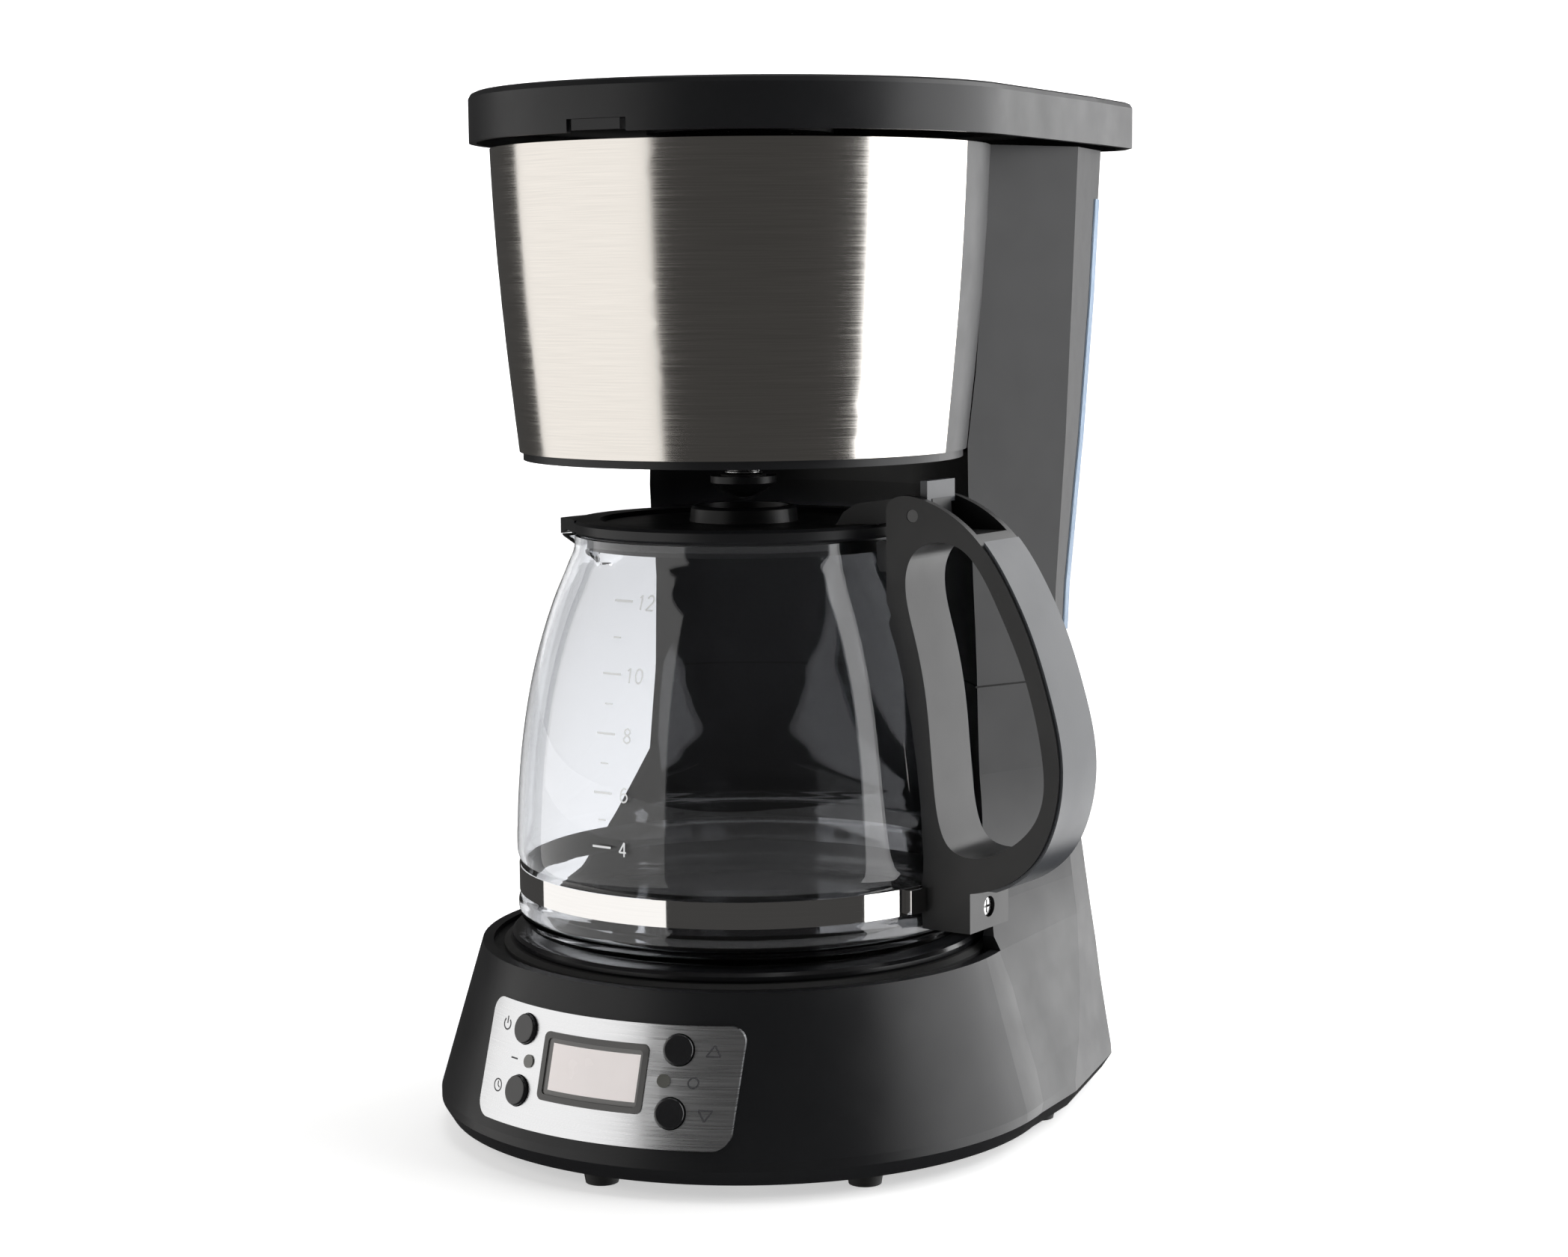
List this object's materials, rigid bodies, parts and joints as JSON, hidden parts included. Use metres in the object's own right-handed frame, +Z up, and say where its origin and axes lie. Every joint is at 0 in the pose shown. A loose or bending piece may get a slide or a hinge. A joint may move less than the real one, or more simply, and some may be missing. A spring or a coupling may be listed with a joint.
{
  "type": "drip coffee maker",
  "caption": "Drip coffee maker with a rear water tank, drum-shaped brew housing in a steel band, hinged lid, warming plate and glass carafe.",
  "frame": {"origin": "middle of the object's box in plan, at the height of the feet's undersides", "axes": "+Z up, -Y towards the front with its control panel, +X towards the carafe's handle"},
  "size_m": [0.2264, 0.254, 0.3354],
  "materials": {
    "base_shell": "fine moulded grain",
    "bottom_cover": "fine moulded grain",
    "cover_screws": "plain",
    "feet": "matt",
    "warming_plate": "non-stick coating",
    "plate_seal": "matt",
    "heating_element": "cast",
    "heater_tray": "plain",
    "thermostat": "plain",
    "thermal_fuse": "plain",
    "check_valve": "plain",
    "cold_hose": "translucent silicone",
    "riser_tube": "translucent silicone",
    "upper_housing": "fine moulded grain",
    "water_gauge": "clear blue tint",
    "tank_cover": "fine moulded grain",
    "basket_ring": "fine moulded grain",
    "drum_floor": "fine moulded grain",
    "steel_band": "horizontal brushing",
    "hinge_pin": "plain",
    "panel_plate": "brushed and anodised",
    "screen_frame": "gloss",
    "screen_glass": "glass-clear over a grey display",
    "lamp_run": "clear red",
    "lamp_auto": "clear green",
    "control_board": "solder mask",
    "cord_gland": "fine moulded grain",
    "lid_shell": "fine moulded grain",
    "lid_liner": "fine moulded grain",
    "lid_tab": "fine moulded grain",
    "spray_head": "fine moulded grain",
    "button_1": "gloss",
    "button_2": "gloss",
    "button_3": "gloss",
    "button_4": "gloss",
    "basket_cup": "fine moulded grain",
    "mesh_filter": "plain",
    "basket_grip": "fine moulded grain",
    "valve_cup": "fine moulded grain",
    "valve_seal": "matt",
    "valve_spring": "plain",
    "carafe_glass": "clear",
    "carafe_band": "horizontal brushing",
    "handle_body": "fine moulded grain",
    "handle_cover": "satin",
    "handle_screw": "plain",
    "lid_pin": "plain",
    "band_clamps": "horizontal brushing",
    "carafe_lid": "fine moulded grain",
    "thumb_tab": "satin"
  },
  "bodies": {
    "housing": {"base_shell": "base_shell", "bottom_cover": "bottom_cover", "cover_screws": "cover_screws", "feet": "feet", "warming_plate": "warming_plate", "plate_seal": "plate_seal", "heating_element": "heating_element", "heater_tray": "heater_tray", "thermostat": "thermostat", "thermal_fuse": "thermal_fuse", "check_valve": "check_valve", "cold_hose": "cold_hose", "riser_tube": "riser_tube", "upper_housing": "upper_housing", "water_gauge": "water_gauge", "tank_cover": "tank_cover", "basket_ring": "basket_ring", "drum_floor": "drum_floor", "steel_band": "steel_band", "hinge_pin": "hinge_pin", "panel_plate": "panel_plate", "screen_frame": "screen_frame", "screen_glass": "screen_glass", "lamp_run": "lamp_run", "lamp_auto": "lamp_auto", "control_board": "control_board", "cord_gland": "cord_gland"},
    "lid": {"lid_shell": "lid_shell", "lid_liner": "lid_liner", "lid_tab": "lid_tab", "spray_head": "spray_head"},
    "button_1": {"button_1": "button_1"},
    "button_2": {"button_2": "button_2"},
    "button_3": {"button_3": "button_3"},
    "button_4": {"button_4": "button_4"},
    "basket": {"basket_cup": "basket_cup", "mesh_filter": "mesh_filter", "basket_grip": "basket_grip"},
    "valve": {"valve_cup": "valve_cup", "valve_seal": "valve_seal", "valve_spring": "valve_spring"},
    "carafe": {"carafe_glass": "carafe_glass", "carafe_band": "carafe_band", "handle_body": "handle_body", "handle_cover": "handle_cover", "handle_screw": "handle_screw", "lid_pin": "lid_pin", "band_clamps": "band_clamps"},
    "carafe_lid": {"carafe_lid": "carafe_lid", "thumb_tab": "thumb_tab"}
  },
  "joints": [
    {"name": "lid_hinge", "type": "hinge", "parent": "housing", "child": "lid", "pos_m": [-0.01123, 0.1224, 0.3156], "axis": [-1, 0, 0], "range_deg": [0, 100]},
    {"name": "button_1_press", "type": "slide", "parent": "housing", "child": "button_1", "axis": [0.2859, 0.915, -0.2846], "range_m": [0, 0.001], "stiffness_N_per_m": 600, "springref_m": -0.0006},
    {"name": "button_2_press", "type": "slide", "parent": "housing", "child": "button_2", "axis": [0.27, 0.9198, -0.2846], "range_m": [0, 0.001], "stiffness_N_per_m": 600, "springref_m": -0.0006},
    {"name": "button_3_press", "type": "slide", "parent": "housing", "child": "button_3", "axis": [-0.2859, 0.915, -0.2846], "range_m": [0, 0.001], "stiffness_N_per_m": 600, "springref_m": -0.0006},
    {"name": "button_4_press", "type": "slide", "parent": "housing", "child": "button_4", "axis": [-0.27, 0.9198, -0.2846], "range_m": [0, 0.001], "stiffness_N_per_m": 600, "springref_m": -0.0006},
    {"name": "basket_lift", "type": "slide", "parent": "housing", "child": "basket", "axis": [0, 0, 1], "range_m": [0, 0.086]},
    {"name": "drip_stop", "type": "slide", "parent": "basket", "child": "valve", "axis": [0, 0, -1], "range_m": [0, 0.0041], "deforming": ["valve_spring"]},
    {"name": "carafe_slide", "type": "slide", "parent": "housing", "child": "carafe", "axis": [0, -1, 0], "range_m": [0, 0.35]},
    {"name": "carafe_lid_hinge", "type": "hinge", "parent": "carafe", "child": "carafe_lid", "pos_m": [0.06009, -0.02999, 0.2023], "axis": [0.0698, 0.9976, 0], "range_deg": [0, 26.5]}
  ],
  "couplings": [
    {"joint": "basket_lift", "follows": "lid_hinge", "m_per_rad": 0.0487},
    {"joint": "drip_stop", "follows": "carafe_slide", "ratio": 0.0114},
    {"joint": "carafe_lid_hinge", "follows": "carafe_slide", "rad_per_m": 1.3}
  ]
}
